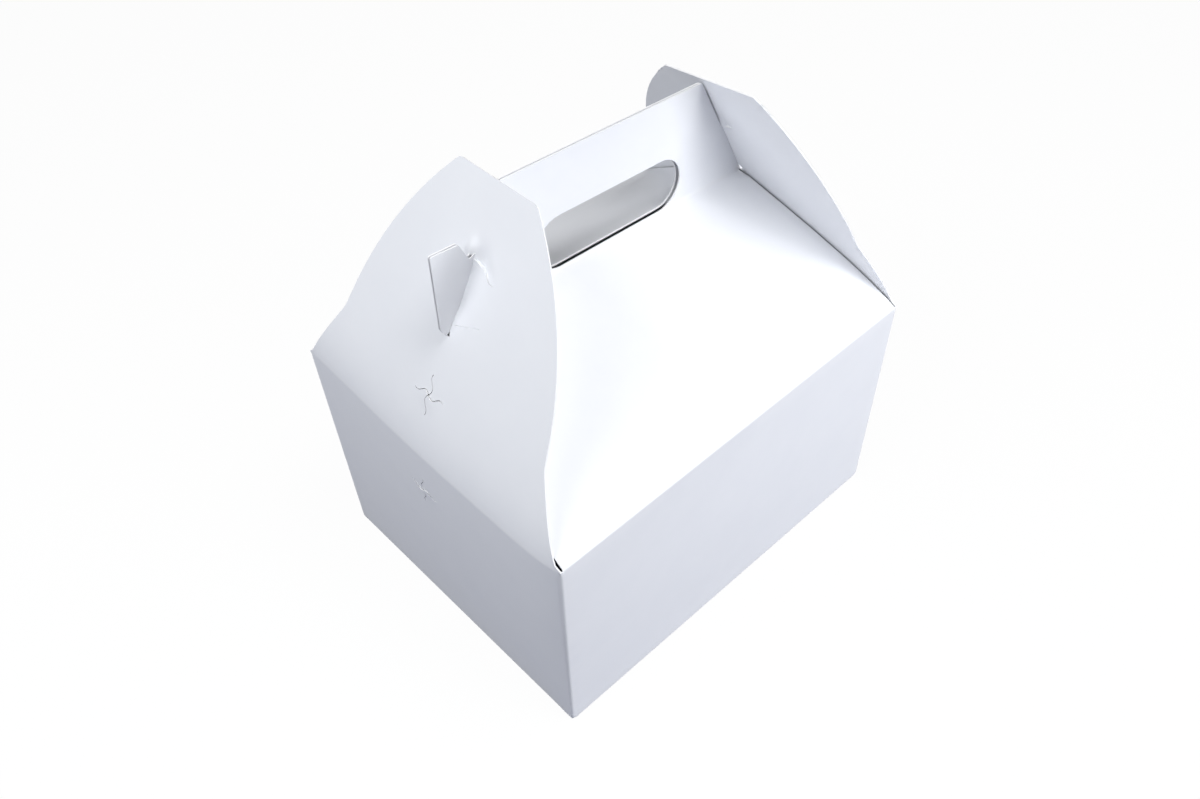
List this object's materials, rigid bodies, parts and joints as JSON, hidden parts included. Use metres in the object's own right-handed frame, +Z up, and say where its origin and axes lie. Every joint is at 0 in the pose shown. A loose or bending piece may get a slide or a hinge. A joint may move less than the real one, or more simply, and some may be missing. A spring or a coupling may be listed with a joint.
{
  "type": "takeout food box",
  "caption": "Gable-top carry-out food carton in plain white card, with a folded handle and hinged end flaps that hook over the handle's tabs.",
  "frame": {"origin": "centre of the bottom face, on the surface that the box stands on", "axes": "+Z up, +X along the handle towards the right end flap, +Y from the front wall towards the back wall"},
  "size_m": [0.2, 0.156, 0.2056],
  "materials": {
    "card": "smooth white folding card with a faint satin sheen"
  },
  "bodies": {
    "carton": {"carton": "card"},
    "left_end_flap": {"left_end_flap": "card"},
    "right_end_flap": {"right_end_flap": "card"}
  },
  "joints": [
    {"name": "left_end_flap_hinge", "type": "hinge", "parent": "carton", "child": "left_end_flap", "pos_m": [-0.1, 0, 0.112], "axis": [0, -1, 0], "range_deg": [0, 118]},
    {"name": "right_end_flap_hinge", "type": "hinge", "parent": "carton", "child": "right_end_flap", "pos_m": [0.1, 0, 0.112], "axis": [0, 1, 0], "range_deg": [0, 118]}
  ]
}
